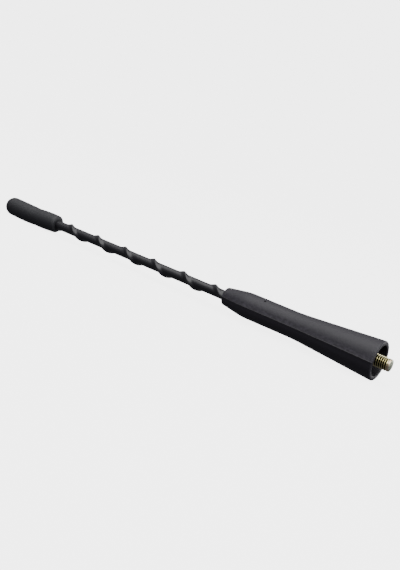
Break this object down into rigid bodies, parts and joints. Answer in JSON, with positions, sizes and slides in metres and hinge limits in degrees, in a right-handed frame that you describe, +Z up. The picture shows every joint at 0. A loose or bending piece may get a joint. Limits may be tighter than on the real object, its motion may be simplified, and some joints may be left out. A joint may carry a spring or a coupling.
{
  "type": "car antenna",
  "caption": "Short black car roof antenna mast with a spiral-ribbed whip, a flared boot with a threaded stud and a soft tip cap.",
  "frame": {"origin": "centre of the boot's lip plane, on the stud's axis", "axes": "+X along the stud, out of the boot and towards the roof socket, with the whip along -X; +Z up, square to the plane of the boot's two side ridges"},
  "size_m": [0.201, 0.0162, 0.0156],
  "materials": {
    "zinc_plated_steel": "satin",
    "turned_brass": "satin",
    "spring_steel": "satin",
    "jacket_pvc": "gloss",
    "boot_plastic": "satin",
    "cap_rubber": "matte"
  },
  "bodies": {
    "root": {"threaded_stud": "zinc_plated_steel", "base_ferrule": "turned_brass", "core_rod": "spring_steel", "whip_jacket": "jacket_pvc", "base_boot": "boot_plastic", "tip_cap": "cap_rubber"}
  },
  "joints": []
}
